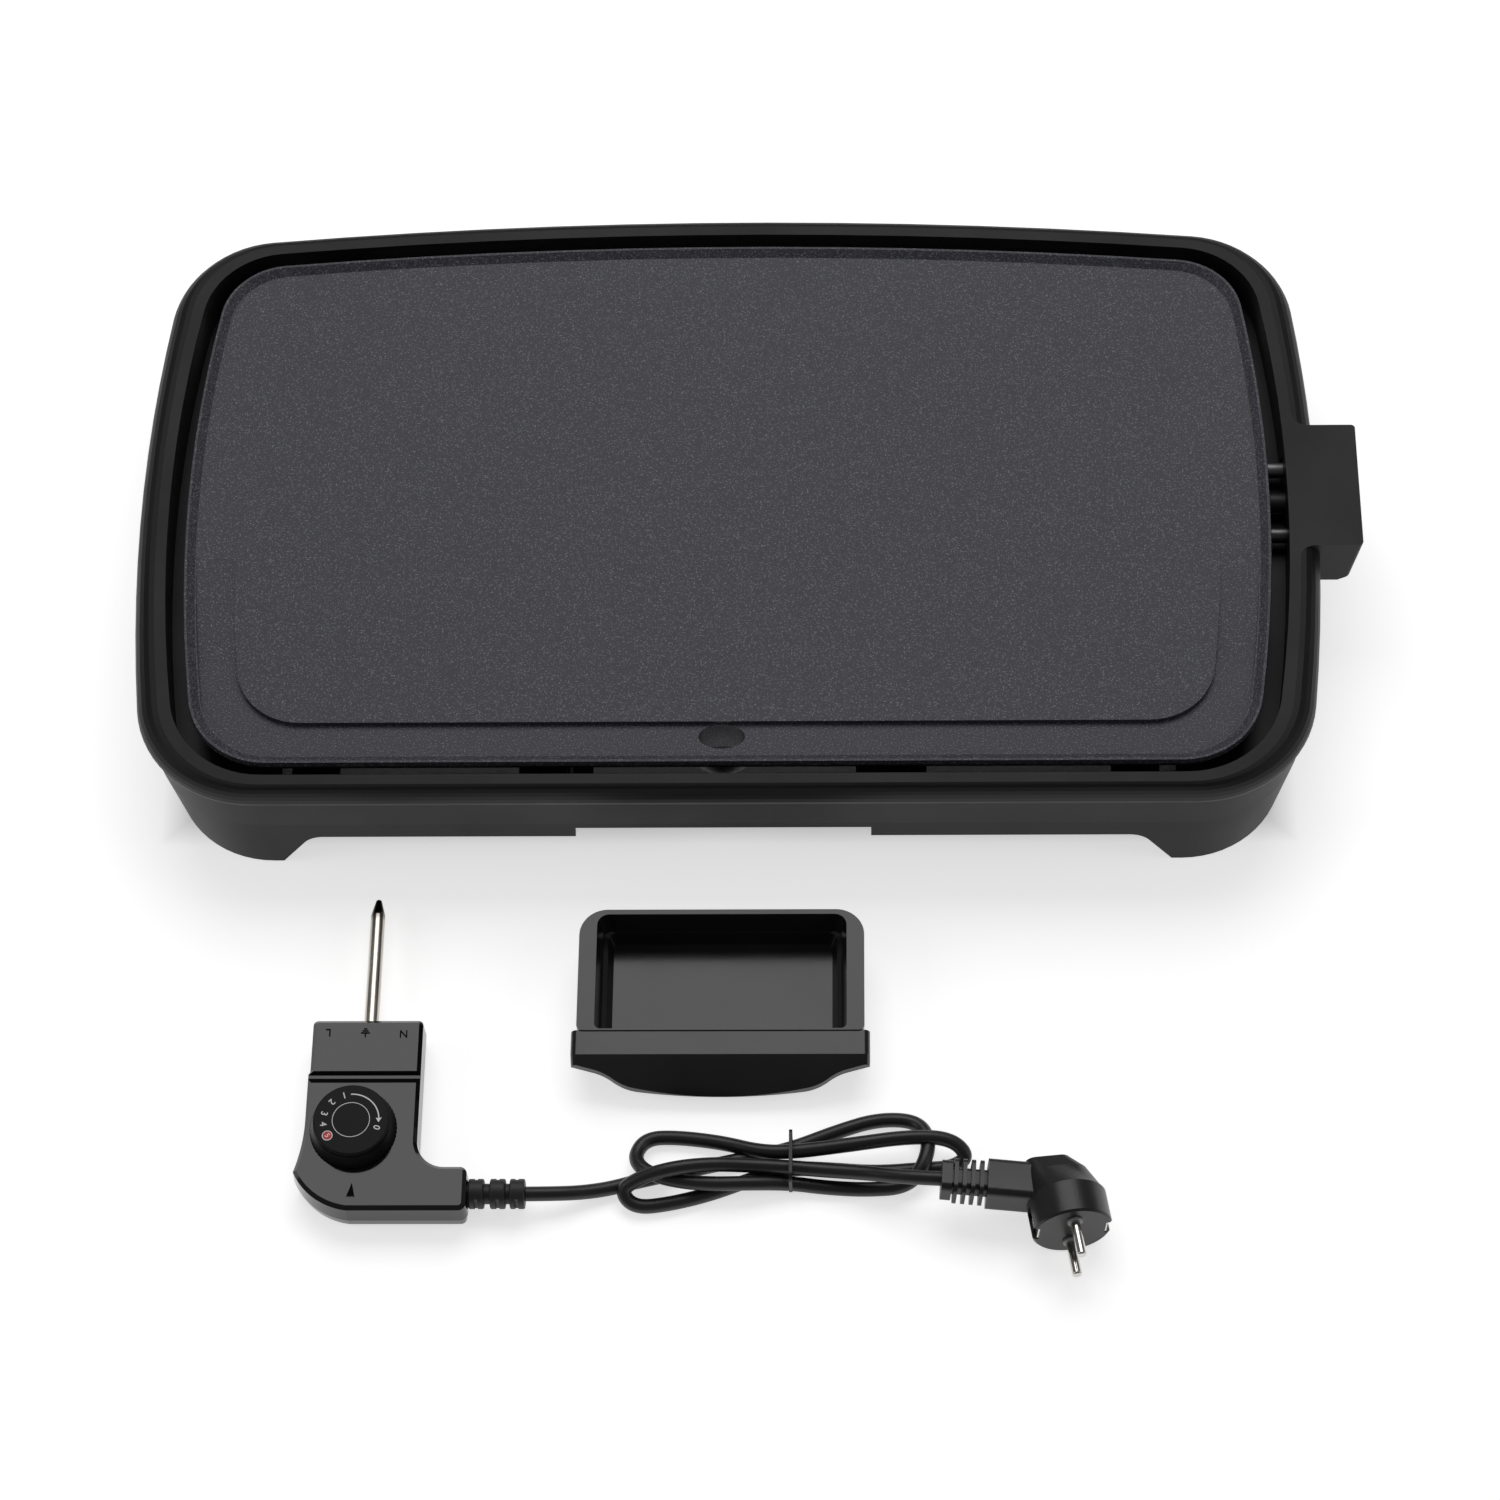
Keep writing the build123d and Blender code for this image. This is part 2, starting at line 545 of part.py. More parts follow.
# ---- control ----------------------------------------------------------------------------------
def control_outline(inset, z):
    """Plan of the control: straight head, swept left side and an elbow to the cord."""
    left, corner_y = BODY_LEFT - 4.3 + inset, -355.6
    neck_y = -327.0
    body_left = BODY_LEFT + inset
    start_y = GROOVE_Y + 3.4
    head_left, head_right = HEAD_LEFT + inset, HEAD_RIGHT - inset
    front, bottom = HEAD_FRONT - inset, ELBOW_BOTTOM + inset
    right, top = ELBOW_RIGHT - inset, ELBOW_TOP - inset
    edges = [
        Line((head_left, start_y), (head_left, front)),
        Line((head_left, front), (head_right, front)),
        Line((head_right, front), (head_right, top)),
        Line((head_right, top), (right, top)),
        Line((right, top), (right, bottom)),
        Line((right, bottom), (-180, bottom)),
        ThreePointArc((-180, bottom), (-198.8 + inset * 0.7, -367.4 + inset * 0.7), (left, corner_y)),
        ThreePointArc((left, corner_y), (body_left - 1.0, -341.5), (body_left, neck_y)),
        Line((body_left, neck_y), (body_left, start_y - 1.6)),
        Line((body_left, start_y - 1.6), (head_left, start_y)),
    ]
    face = make_face(edges)

    def near(x, y):
        return [v for v in face.vertices() if math.dist((v.X, v.Y), (x, y)) < 0.5]

    face = fillet(near(head_right, top), 13.0 + inset)
    face = fillet(near(head_left, front) + near(head_right, front), max(3.0 - inset, 0.8))
    face = fillet(near(right, top) + near(right, bottom), max(4.0 - inset, 0.8))
    return Pos(0, 0, z) * face


def shell_posts():
    """Screw posts inside the control."""
    return [(-194.0, -316.0), (-154.6, -316.0), (-132.5, -370.2)]


def head_bores():
    """Mouths of the two contact sockets and the probe in the head's end."""
    bores = []
    for side in (-1, 1):
        x = PROBE_X + side * PIN_HALF_SPACING
        bores.append(rod_along_y(x, HEAD_FRONT - 4, HEAD_FRONT + 4, PROBE_Z, 4.3))
    bores.append(rod_along_y(PROBE_X, HEAD_FRONT - 4, HEAD_FRONT + 4, PROBE_Z, PROBE_R + 0.05))
    return bores


def groove():
    """V-shaped groove between head and body, over the top and the left side."""
    points = [(GROOVE_Y - 3.4, CONTROL_TOP + 0.01), (GROOVE_Y, CONTROL_TOP - 2.4)]
    points += [(GROOVE_Y + 1.6, CONTROL_TOP - 2.4), (GROOVE_Y + 3.0, CONTROL_TOP + 0.01)]
    points += [(GROOVE_Y + 3.0, CONTROL_TOP + 3), (GROOVE_Y - 3.4, CONTROL_TOP + 3)]
    face = make_face(Polyline(*points, close=True))
    return extrude(Plane.YZ.offset(HEAD_LEFT - 10) * face, amount=80)


def relief_bore():
    """Opening in the elbow's end for the strain relief."""
    return rod_along_x(ELBOW_RIGHT - 6, ELBOW_RIGHT + 2, RELIEF_Y, PROBE_Z, 5.6)


def make_top_shell():
    """Upper half of the control's case with the dial's hole and a raised mark."""
    low = control_outline(0.0, CONTROL_SPLIT)
    bevel = control_outline(0.5, CONTROL_TOP - 2.0)
    high = control_outline(2.4, CONTROL_TOP)
    shell = stack([low, bevel, high])
    inner = prism(control_outline(2.2, CONTROL_SPLIT - 1), CONTROL_TOP - CONTROL_SPLIT - 1.6)
    inner = inner - block(-230, -100, GROOVE_Y - 4, GROOVE_Y + 4, CONTROL_TOP - 4.6, 40)
    shell = shell - inner - groove()
    posts = [rod(x, y, CONTROL_SPLIT + 0.2, CONTROL_TOP - 2, 3.2) for x, y in shell_posts()]
    shell = shell + posts
    for x, y in shell_posts():
        shell = shell - rod(x, y, CONTROL_SPLIT - 1, CONTROL_TOP - 4, 1.15)
    shell = shell - rod(DIAL_X, DIAL_Y, 10, 30, 3.4)
    for bore in head_bores() + [relief_bore()]:
        shell = shell - bore
    mark = make_face(Polyline((-177.4, -361.4), (-180.2, -369.4), (-175.6, -369.4), close=True))
    return shell + prism(Pos(0, 0, CONTROL_TOP - 0.4) * mark, 0.7)


def make_bottom_shell():
    """Lower half of the control's case with screw wells."""
    low = control_outline(2.6, CONTROL_BOTTOM)
    bevel = control_outline(0.9, CONTROL_BOTTOM + 2.2)
    high = control_outline(0.2, CONTROL_SPLIT)
    shell = stack([low, bevel, high])
    inner = prism(control_outline(2.8, CONTROL_BOTTOM + 2.0), 20)
    shell = shell - inner
    posts = [rod(x, y, CONTROL_BOTTOM + 1.5, CONTROL_SPLIT, 3.4) for x, y in shell_posts()]
    shell = shell + [p & prism(control_outline(1.0, 0), 30) for p in posts]
    for x, y in shell_posts():
        shell = shell - rod(x, y, 0, 5.4, 2.6) - rod(x, y, 0, 12, 1.35)
    for bore in head_bores() + [relief_bore()]:
        shell = shell - bore
    return shell


def make_shell_screws():
    """Screws that close the control's case from below."""
    return Compound(children=[
        screw(x, y, 5.4, 17.0, head_r=2.4, head_h=1.8, shank_r=1.1) for x, y in shell_posts()
    ])


def make_probe():
    """Steel temperature probe with a dark tapered tip."""
    tube_part = rod_along_y(PROBE_X, -300, PROBE_TIP_Y - 9, PROBE_Z, PROBE_R)
    tip = Pos(PROBE_X, PROBE_TIP_Y - 9, PROBE_Z) * Rot(-90, 0, 0)
    tip = tip * Cone(PROBE_R, 1.3, 9, align=(Align.CENTER, Align.CENTER, Align.MIN))
    tip = fillet(tip.edges().sort_by(Axis.Y)[-1], 1.0)
    return tube_part + tip


def make_contact_socket(side):
    """Split spring sleeve that grips one element pin."""
    x = PROBE_X + side * PIN_HALF_SPACING
    y1 = HEAD_FRONT - 3.2
    sleeve = rod_along_y(x, y1 - 22, y1, PROBE_Z, 4.1)
    sleeve = sleeve - rod_along_y(x, y1 - 20, y1 + 1, PROBE_Z, 3.15)
    sleeve = sleeve - block(x - 0.5, x + 0.5, y1 - 16, y1 + 1, PROBE_Z - 6, PROBE_Z + 6)
    tail = block(x - 2, x + 2, y1 - 34, y1 - 21.5, PROBE_Z - 0.5, PROBE_Z + 0.5)
    return sleeve + tail


def make_earth_contact():
    """Spring clip round the probe behind the head's end."""
    y1 = HEAD_FRONT - 3.2
    ring = rod_along_y(PROBE_X, y1 - 5, y1, PROBE_Z, PROBE_R + 1.2)
    ring = ring - rod_along_y(PROBE_X, y1 - 6, y1 + 1, PROBE_Z, PROBE_R + 0.02)
    return ring + block(PROBE_X - 2, PROBE_X + 2, y1 - 19, y1 - 4.5, PROBE_Z + 3.6, PROBE_Z + 4.4)


def make_thermostat_bracket():
    """Folded steel bracket that carries the probe and the spindle."""
    base = block(-186, -166, -352, -299, 3.0, 4.0)
    wall = block(-186, -166, -300.4, -299, 3.0, 17.0)
    wall = wall - rod_along_y(PROBE_X, -305, -295, PROBE_Z, PROBE_R + 0.02)
    bridge = block(-186, -171, -345, -327, 16.0, 17.0) + block(-186, -185, -345, -327, 3.5, 16.5)
    bridge = bridge - rod(DIAL_X, DIAL_Y, 14, 19, 2.6)
    return base + wall + bridge


def make_contact_carrier():
    """Ceramic stack that holds the two switching blades."""
    stack_block = block(-173.0, -166.5, -322, -308, 4.02, 11.4)
    for z in (FIXED_BLADE_Z, MOVING_BLADE_Z):
        stack_block = stack_block - block(-172.05, -168.05, -330, -307, z - 0.03, z + 0.53)
    return stack_block


def make_contact_blade(z, low_y):
    """Spring blade with a round contact at its end."""
    blade = block(-172, -168.1, low_y, -307.5, z, z + 0.5)
    return blade + rod(-170, low_y + 2.2, z - 0.6, z + 1.1, 1.5)


def make_terminal_block():
    """Two-way terminal block by the cord's entry."""
    body = block(-160, -146, -371, -356, 3.0, 13.0)
    for y in (-367.4, -359.6):
        body = body - rod_along_x(-170, -140, y, 8, 1.6) - rod(-153, y, 9, 15, 1.7)
    return body


def make_cord_clamp():
    """Bridge that presses the cord down behind the elbow's end."""
    bridge = block(-143.5, -137.5, -372, -356.4, 2.62, 18.0)
    return bridge - rod_along_x(-150, -130, RELIEF_Y, PROBE_Z, CORD_R)


def make_control_relief():
    """Ribbed strain relief moulded round the cord, slotted to bend."""
    core = rod_along_x(ELBOW_RIGHT - 5.5, RELIEF_END_X, RELIEF_Y, PROBE_Z, 5.0)
    flange = rod_along_x(ELBOW_RIGHT - 5.5, ELBOW_RIGHT - 3.0, RELIEF_Y, PROBE_Z, 7.4)
    relief = core + flange
    rings = [(ELBOW_RIGHT + 0.2, 7.4), (ELBOW_RIGHT + 10.6, 7.4), (RELIEF_END_X - 7.2, 7.2)]
    for x, length in rings:
        ring = rod_along_x(x, x + length, RELIEF_Y, PROBE_Z, 7.3)
        relief = relief + fillet(ring.edges().filter_by(GeomType.CIRCLE), 0.8)
    slot_xs = [ELBOW_RIGHT + 3.9, ELBOW_RIGHT + 14.3, RELIEF_END_X - 3.9]
    for x in slot_xs:
        for side in (-1, 1):
            y = RELIEF_Y + side * 7.6
            relief = relief - block(x - 0.9, x + 0.9, y - 2.4, y + 2.4, PROBE_Z - 9, PROBE_Z + 9)
    return relief


def make_dial_knob():
    """Round knob: a plain cap over a flared skirt with fine grips."""
    grips = 60
    grip_r = 0.55
    skirt = Pos(DIAL_X, DIAL_Y, DIAL_BOTTOM)
    skirt = skirt * Cone(DIAL_SKIRT_R, DIAL_R + 0.7, 7.2, align=(Align.CENTER, Align.CENTER, Align.MIN))
    cap = rod(DIAL_X, DIAL_Y, DIAL_BOTTOM + 7.2, DIAL_TOP, DIAL_R + 0.5)
    cap = fillet(cap.edges().group_by(Axis.Z)[-1], 0.9)
    knob = skirt + cap
    cutters = []
    for index in range(grips):
        angle = 2 * math.pi * index / grips
        radius = DIAL_SKIRT_R + 0.1
        x, y = DIAL_X + radius * math.cos(angle), DIAL_Y + radius * math.sin(angle)
        cutters.append(rod(x, y, DIAL_BOTTOM - 1, DIAL_BOTTOM + 5.2, grip_r))
    knob = knob - cutters
    hollow = rod(DIAL_X, DIAL_Y, DIAL_BOTTOM - 1, DIAL_TOP - 2.4, DIAL_R - 1.6)
    hub = rod(DIAL_X, DIAL_Y, DIAL_BOTTOM, DIAL_TOP - 2.0, 5.4)
    knob = (knob - hollow) + hub
    return knob - rod(DIAL_X, DIAL_Y, DIAL_BOTTOM - 1, DIAL_TOP - 3.0, 3.0)


def make_dial_spindle():
    """Stepped spindle that turns with the knob and presses on the contact blade."""
    stem = rod(DIAL_X, DIAL_Y, 12.0, DIAL_TOP - 3.0, 2.5)
    collar = rod(DIAL_X, DIAL_Y, 17.3, 19.2, 4.6)
    top = rod(DIAL_X, DIAL_Y, DIAL_BOTTOM + 0.2, DIAL_TOP - 3.0, 3.0)
    return stem + collar + top


# ---- cord -------------------------------------------------------------------------------------
CORD_LEAD_ROUTE = [
    (RELIEF_END_X, RELIEF_Y, PROBE_Z),
    (-80.0, -362.8, 10.4),
    (-66.0, -360.2, 6.2),
    (-53.0, -357.0, 4.0),
    (-42.0, -353.6, 3.75),
]

HANK_OUTLINE = [
    (-48.3, -359.5), (-43.5, -367.6), (-33.0, -369.0), (-16.0, -366.4), (6.0, -360.6),
    (33.0, -357.6), (55.0, -360.4), (74.0, -361.2), (92.0, -358.4), (102.0, -350.2),
    (113.0, -347.2), (119.0, -342.0), (112.0, -335.6), (99.0, -329.0), (86.0, -319.4),
    (66.0, -320.4), (48.0, -327.0), (33.0, -332.2), (12.0, -331.6), (-12.0, -327.6),
    (-31.0, -326.6), (-43.0, -333.4), (-43.6, -344.0),
]


def make_hank():
    """Outer shape of the folded and tied stretch of cord."""
    outline = make_face(Spline(*HANK_OUTLINE, periodic=True))
    return prism(Pos(0, 0, HANK_BOTTOM) * outline, HANK_TOP - HANK_BOTTOM) - tie_ring()


def tie_ring():
    """Tie round the hank's waist."""
    x0, x1 = TIE_X - TIE_HALF_WIDTH, TIE_X + TIE_HALF_WIDTH
    low_y, high_y = -359.0, -331.2
    z0, z1 = HANK_BOTTOM, HANK_TOP + 0.6
    ring = block(x0, x1, low_y, high_y, z0, z1)
    ring = fillet(ring.edges().filter_by(Axis.X), 4.0)
    t = TIE_THICK
    hole = block(x0 - 1, x1 + 1, low_y + t, high_y - t, z0 + t, z1 - t)
    return ring - fillet(hole.edges().filter_by(Axis.X), 3.0)


CORD_TAIL_ROUTE = [
    (95.0, -360.0, 22.8),
    (82.0, -357.5, 19.4),
    (69.0, -353.8, 14.6),
]


# ---- plug -------------------------------------------------------------------------------------
def plug_frame():
    """Plug axes: Z out along the pins, Y towards the neck, X from pin to pin."""
    across = PLUG_NECK_GUIDE.cross(PLUG_PINS).normalized()
    return Plane(origin=PLUG_FACE, x_dir=across, z_dir=PLUG_PINS)


def neck_frame():
    """Neck axes inside the plug's own: Z runs out along the cord."""
    tilt = math.radians(NECK_TILT)
    along = Vector(0, math.cos(tilt), -math.sin(tilt))
    return Plane(origin=(0, 8.0, -24.0), x_dir=(1, 0, 0), z_dir=along)


NECK_LENGTH = 29.0
PLUG_RELIEF_LENGTH = 22.0


def make_plug_body():
    """Angled plug: a round face, a tapered back and a neck to one side."""
    face = prism(Pos(0, 0, -17) * Circle(PLUG_R), 17)
    face = chamfer(face.edges().group_by(Axis.Z)[-1], 1.0)
    section_low = Pos(0, 0, -17) * Circle(PLUG_R - 0.4)
    section_mid = Pos(0, 3, -30) * RectangleRounded(23, 30, 8)
    section_back = Pos(0, 6, -37) * RectangleRounded(18, 22, 5)
    back = loft([section_back, section_mid, section_low], ruled=True)
    neck = extrude(neck_frame() * RectangleRounded(18.0, 20.5, 3.5), amount=NECK_LENGTH)
    body = face + back + neck
    for side in (-1, 1):
        slot = block(-4.6, 4.6, *sorted((side * 16.0, side * 24)), -13, 1)
        body = body - slot
        body = body - rod(side * PLUG_PIN_HALF_SPACING, 0, -8, 1, PLUG_PIN_R - PIN_ROOT_LESS)
    return body


def make_plug_pins():
    """Two round mains pins."""
    pins = []
    for side in (-1, 1):
        x = side * PLUG_PIN_HALF_SPACING
        pin = rod(x, 0, 1.2, 19, PLUG_PIN_R)
        pin = fillet(pin.edges().group_by(Axis.Z)[-1], 1.0)
        pins.append(pin + rod(x, 0, -8, 1.2, PLUG_PIN_R - PIN_ROOT_LESS))
    return Compound(children=pins)


def make_pin_collars():
    """Light insulating collars at the feet of the pins."""
    collars = []
    for side in (-1, 1):
        x = side * PLUG_PIN_HALF_SPACING
        collars.append(rod(x, 0, 0, 1.0, 3.7) - rod(x, 0, -1, 3, PLUG_PIN_R - PIN_ROOT_LESS))
    return Compound(children=collars)


def make_earth_clips():
    """Two earth contacts in the slots at the plug's sides."""
    clips = []
    for side in (-1, 1):
        y0, y1 = sorted((side * 16.0, side * 16.9))
        clip = block(-4.0, 4.0, y0, y1, -12.4, -0.4)
        y0, y1 = sorted((side * 16.0, side * 17.9))
        clips.append(clip + block(-2.6, 2.6, y0, y1, -9.0, -4.0))
    return Compound(children=clips)


def make_plug_relief():
    """Ribbed relief between neck and cord, with an end block."""
    start, length = NECK_LENGTH, PLUG_RELIEF_LENGTH
    relief = prism(Pos(0, 0, start) * RectangleRounded(9.5, 12.0, 3), length)
    ribs = 4
    pitch = (length - 5.5) / ribs
    for index in range(ribs):
        rib = prism(Pos(0, 0, start + pitch * (index + 0.45)) * RectangleRounded(15.5, 19.5, 4), 1.9)
        relief = relief + rib
    end = prism(Pos(0, 0, start + length - 5.0) * RectangleRounded(14.0, 17.0, 3.5), 5.0)
    return neck_frame() * (relief + end)


def plug_cord_point(distance):
    """Point on the neck's axis, out past the relief's end."""
    local = Vector(0, 0, NECK_LENGTH + PLUG_RELIEF_LENGTH + distance)
    return plug_frame().from_local_coords(neck_frame().from_local_coords(local))


def cord_tail_route():
    """Short stretch from the hank up to the plug's relief."""
    return [tuple(plug_cord_point(0))] + CORD_TAIL_ROUTE


# ---- write every node -------------------------------------------------------------------------
def make_nodes():
    """All nodes by name."""
    plug = plug_frame()
    nodes = {
        "frame_housing": make_frame(),
        "griddle_plate": make_plate(),
        "heating_element": make_heating_element(),
        "element_pins": make_element_pins(),
        "pin_insulators": make_pin_insulators(),
        "probe_sleeve": make_probe_sleeve(),
        "socket_backplate": make_socket_backplate(),
        "heat_shield": make_heat_shield(),
        "plate_screws": make_plate_screws(),
        "shield_screws": make_shield_screws(),
        "tray_rail_left": make_tray_rail(-1),
        "tray_rail_right": make_tray_rail(1),
        "drip_tray": make_drip_tray(),
        "control_top_shell": make_top_shell(),
        "control_bottom_shell": make_bottom_shell(),
        "shell_screws": make_shell_screws(),
        "temperature_probe": make_probe(),
        "live_contact": make_contact_socket(-1),
        "neutral_contact": make_contact_socket(1),
        "earth_contact": make_earth_contact(),
        "thermostat_bracket": make_thermostat_bracket(),
        "contact_carrier": make_contact_carrier(),
        "fixed_contact_blade": make_contact_blade(FIXED_BLADE_Z, -338.0),
        "moving_contact_blade": make_contact_blade(MOVING_BLADE_Z, -342.0),
        "terminal_block": make_terminal_block(),
        "cord_clamp": make_cord_clamp(),
        "control_strain_relief": make_control_relief(),
        "dial_knob": make_dial_knob(),
        "dial_spindle": make_dial_spindle(),
        "cord_lead": tube(CORD_LEAD_ROUTE, CORD_R, "cord_lead"),
        "cord_hank": make_hank(),
        "cord_tie": tie_ring(),
        "cord_tail": tube(cord_tail_route(), CORD_R, "cord_tail"),
        "plug_body": plug * make_plug_body(),
        "plug_pins": plug * make_plug_pins(),
        "plug_pin_collars": plug * make_pin_collars(),
        "plug_earth_clips": plug * make_earth_clips(),
        "plug_strain_relief": plug * make_plug_relief(),
    }
    for name, (x, y) in foot_places().items():
        nodes[name] = make_rubber_foot(x, y)
    return nodes


os.makedirs("parts", exist_ok=True)
for node_name, shape in make_nodes().items():
    export_step(shape, f"parts/{node_name}.step")
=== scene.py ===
import math

import bmesh
import bpy
from mathutils import Matrix, Vector


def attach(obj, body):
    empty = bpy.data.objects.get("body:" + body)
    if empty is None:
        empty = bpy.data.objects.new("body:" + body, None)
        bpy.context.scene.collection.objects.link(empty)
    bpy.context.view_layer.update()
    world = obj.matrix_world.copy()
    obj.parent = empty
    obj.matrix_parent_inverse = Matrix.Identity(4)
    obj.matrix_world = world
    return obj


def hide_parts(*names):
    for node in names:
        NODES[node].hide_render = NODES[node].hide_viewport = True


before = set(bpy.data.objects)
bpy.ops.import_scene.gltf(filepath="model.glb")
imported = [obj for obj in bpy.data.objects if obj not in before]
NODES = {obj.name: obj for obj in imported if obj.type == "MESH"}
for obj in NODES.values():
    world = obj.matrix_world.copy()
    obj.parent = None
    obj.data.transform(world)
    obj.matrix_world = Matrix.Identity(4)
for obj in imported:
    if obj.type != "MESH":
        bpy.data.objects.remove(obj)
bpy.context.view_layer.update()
MM = 0.001


def mm(*values):
    """Millimetres to metres, as a tuple."""
    return tuple(v * MM for v in values)


# ---------------------------------------------------------------- camera
FORWARD = Vector((-0.02681717, 0.49928032, -0.8660254))
RIGHT = Vector((0.99963307, 0.01008544, -0.02513998))
UP = Vector((0.00381765, 0.86638181, 0.49936758))
LENS_MM = 99.92
CAMERA_PLACE = (68.612, -1180.117, 1856.475)


def make_camera():
    data = bpy.data.cameras.new("camera")
    data.sensor_width = 36.0
    data.lens = LENS_MM
    data.clip_start = 0.05
    data.clip_end = 50.0
    obj = bpy.data.objects.new("camera", data)
    bpy.context.scene.collection.objects.link(obj)
    turn = Matrix((RIGHT, UP, -FORWARD)).transposed().to_4x4()
    obj.matrix_world = Matrix.Translation(mm(*CAMERA_PLACE)) @ turn
    bpy.context.scene.camera = obj


make_camera()


# ---------------------------------------------------------------- node helpers
def new_material(name):
    mat = bpy.data.materials.new(name)
    mat.use_nodes = True
    tree = mat.node_tree
    return mat, tree, tree.nodes["Principled BSDF"]


def object_place(tree, stretch=None):
    """Coordinates in the object's own metres, so a pattern rides with its piece."""
    source = tree.nodes.new("ShaderNodeTexCoord").outputs["Object"]
    if stretch:
        turn = tree.nodes.new("ShaderNodeMapping")
        turn.inputs["Scale"].default_value = stretch
        tree.links.new(source, turn.inputs["Vector"])
        source = turn.outputs["Vector"]
    return source


def noise(tree, scale, detail=3.0, roughness=0.55, stretch=None):
    node = tree.nodes.new("ShaderNodeTexNoise")
    node.inputs["Scale"].default_value = scale
    node.inputs["Detail"].default_value = detail
    node.inputs["Roughness"].default_value = roughness
    tree.links.new(object_place(tree, stretch), node.inputs["Vector"])
    return node.outputs["Fac"]


def spread(tree, source, low, high, start=0.3, end=0.7):
    """Maps the part of source between start and end to low..high."""
    node = tree.nodes.new("ShaderNodeMapRange")
    node.inputs["From Min"].default_value = start
    node.inputs["From Max"].default_value = end
    node.inputs["To Min"].default_value = low
    node.inputs["To Max"].default_value = high
    tree.links.new(source, node.inputs["Value"])
    return node.outputs["Result"]


def ramp(tree, source, *stops):
    """Colour ramp from (position, (r, g, b)) stops."""
    node = tree.nodes.new("ShaderNodeValToRGB")
    band = node.color_ramp
    while len(band.elements) < len(stops):
        band.elements.new(0.5)
    for element, (position, colour) in zip(band.elements, stops):
        element.position = position
        element.color = (*colour, 1.0)
    tree.links.new(source, node.inputs["Fac"])
    return node.outputs["Color"]


def mix(tree, share, first, second):
    """Colour between first and second, each a colour or an output."""
    node = tree.nodes.new("ShaderNodeMix")
    node.data_type = "RGBA"
    sockets = [s for s in node.inputs if s.type == "RGBA"]
    for socket, value in zip(sockets, (first, second)):
        if isinstance(value, tuple):
            socket.default_value = (*value, 1.0)
        else:
            tree.links.new(value, socket)
    tree.links.new(share, node.inputs[0])
    return [s for s in node.outputs if s.type == "RGBA"][0]


def bump(tree, shader, *layers):
    """Stacks bumps, each (height source, depth in metres)."""
    normal = None
    for source, depth in layers:
        node = tree.nodes.new("ShaderNodeBump")
        node.inputs["Distance"].default_value = depth
        tree.links.new(source, node.inputs["Height"])
        if normal is not None:
            tree.links.new(normal, node.inputs["Normal"])
        normal = node.outputs["Normal"]
    tree.links.new(normal, shader.inputs["Normal"])


def surface(name, dark, light, rough, grain, depth, metallic=0.0, ior=1.5,
            coat=0.0, stretch=None, cloud=18.0):
    """A moulded or metal surface: cloudy colour, uneven gloss and a fine grain."""
    mat, tree, shader = new_material(name)
    shader.inputs["Metallic"].default_value = metallic
    shader.inputs["IOR"].default_value = ior
    if coat:
        shader.inputs["Coat Weight"].default_value = coat
        shader.inputs["Coat Roughness"].default_value = 0.05
    broad = noise(tree, cloud, 4.0)
    fine = noise(tree, grain, 3.0, 0.6, stretch)
    tree.links.new(ramp(tree, broad, (0.3, dark), (0.7, light)),
                   shader.inputs["Base Color"])
    tree.links.new(spread(tree, broad, *rough), shader.inputs["Roughness"])
    bump(tree, shader, (fine, depth))
    return mat


def grey(value, blue=1.0):
    return (value, value, value * blue)


def plate_material():
    """Speckled non-stick coating: grey ground, fine pale flecks and a pebbled skin."""
    mat, tree, shader = new_material("nonstick")
    shader.inputs["IOR"].default_value = 1.45
    broad = noise(tree, 5.0, 4.0)
    ground = ramp(tree, broad, (0.3, (0.031, 0.031, 0.042)), (0.7, (0.037, 0.037, 0.049)))
    mottle = noise(tree, 560.0, 2.0, 0.5)
    ground = mix(tree, spread(tree, mottle, 0.0, 0.60, 0.42, 0.62), ground,
                 (0.066, 0.066, 0.082))
    fleck = noise(tree, 1300.0, 1.0, 0.5)
    ground = mix(tree, spread(tree, fleck, 0.0, 0.90, 0.58, 0.68), ground,
                 (0.19, 0.195, 0.22))
    tree.links.new(ground, shader.inputs["Base Color"])
    tree.links.new(spread(tree, mottle, 0.46, 0.60), shader.inputs["Roughness"])
    bump(tree, shader, (noise(tree, 520.0, 3.0, 0.6), 0.00010),
         (noise(tree, 1500.0, 2.0, 0.6), 0.00003))
    return mat


def probe_material():
    """Drawn steel that heat has turned brown-black towards the tip."""
    mat, tree, shader = new_material("probe")
    shader.inputs["Metallic"].default_value = 1.0
    split = tree.nodes.new("ShaderNodeSeparateXYZ")
    tree.links.new(object_place(tree), split.inputs["Vector"])
    along = spread(tree, split.outputs["Y"], 0.0, 1.0, -0.2155, -0.2105)
    streak = noise(tree, 260.0, 3.0, 0.6, (1.0, 0.12, 1.0))
    steel = ramp(tree, streak, (0.3, (0.50, 0.46, 0.41)), (0.7, (0.68, 0.64, 0.58)))
    tree.links.new(mix(tree, along, steel, (0.018, 0.013, 0.010)),
                   shader.inputs["Base Color"])
    tree.links.new(spread(tree, streak, 0.16, 0.30), shader.inputs["Roughness"])
    bump(tree, shader, (streak, 0.00002))
    return mat


